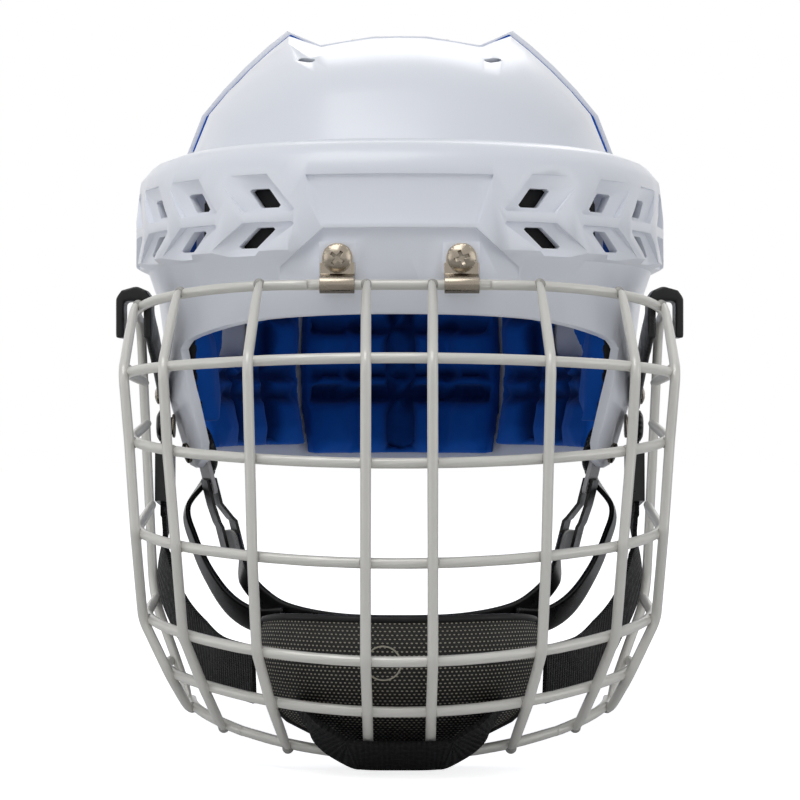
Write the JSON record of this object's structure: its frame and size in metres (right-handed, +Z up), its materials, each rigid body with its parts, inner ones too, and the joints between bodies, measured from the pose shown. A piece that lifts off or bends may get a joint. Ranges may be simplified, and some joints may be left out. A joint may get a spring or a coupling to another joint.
{
  "type": "hockey helmet",
  "caption": "Two-piece ice hockey helmet with a size-adjustable shell, foam liner, hinged full-face wire cage, chin cup and straps.",
  "frame": {"origin": "centre of the wearer's head at ear level, midway between the ears", "axes": "+Z up, the face looks along -Y, +X to the right of a viewer who faces the helmet"},
  "size_m": [0.2134, 0.3227, 0.2738],
  "materials": {
    "shell": "white moulded polyethylene, satin to gloss",
    "foam": "blue closed-cell foam with a soft skin",
    "wire": "welded steel wire, pale grey coated",
    "nickel": "nickel plated steel",
    "hook_plastic": "black nylon",
    "cup": "black, embossed with small ovals",
    "cup_lining": "black soft foam lining",
    "webbing": "black ribbed webbing",
    "strap_rubber": "black smooth strap",
    "tab_plastic": "pale grey plastic",
    "buckle_plastic": "black plastic"
  },
  "bodies": {
    "helmet": {"front_shell": "shell", "forehead_pad": "foam", "crown_pad": "foam", "temple_pad_left": "foam", "temple_pad_right": "foam", "top_clip_left": "nickel", "top_clip_right": "nickel", "top_clip_screws": "nickel", "top_clip_nuts": "nickel", "size_screws": "nickel", "size_nuts": "nickel", "side_clip_left": "hook_plastic", "side_clip_right": "hook_plastic", "side_clip_screws": "nickel", "ear_ring_left": "buckle_plastic", "ear_ring_right": "buckle_plastic", "ear_tab_left": "tab_plastic", "ear_tab_right": "tab_plastic", "ear_loop_left": "webbing", "ear_loop_right": "webbing", "chin_strap": "strap_rubber", "jaw_strap_left": "webbing", "jaw_strap_right": "webbing", "ear_rivets": "nickel", "snap_studs": "nickel"},
    "rear": {"rear_shell": "shell", "rear_pad_centre": "foam", "rear_pad_left": "foam", "rear_pad_right": "foam"},
    "cage": {"cage_frame": "wire", "cage_crossbars": "wire", "cage_verticals": "wire", "chin_cup": "cup", "chin_cup_liner": "cup_lining", "cup_loop": "webbing", "cage_strap_left": "webbing", "cage_strap_right": "webbing", "strap_snaps": "buckle_plastic"},
    "slider_left": {"strap_slider_left": "buckle_plastic"},
    "slider_right": {"strap_slider_right": "buckle_plastic"}
  },
  "joints": [
    {"name": "cage_swing", "type": "hinge", "parent": "helmet", "child": "cage", "pos_m": [0, -0.1365, 0.0395], "axis": [-1, 0, 0], "range_deg": [0, 95]},
    {"name": "rear_shell_slide", "type": "slide", "parent": "helmet", "child": "rear", "axis": [0, 1, 0], "range_m": [0, 0.014]},
    {"name": "strap_slider_left_slide", "type": "slide", "parent": "cage", "child": "slider_left", "axis": [0.011, -0.1376, -0.9904], "range_m": [-0.003, 0.004]},
    {"name": "strap_slider_right_slide", "type": "slide", "parent": "cage", "child": "slider_right", "axis": [-0.011, -0.1376, -0.9904], "range_m": [-0.003, 0.004]}
  ]
}
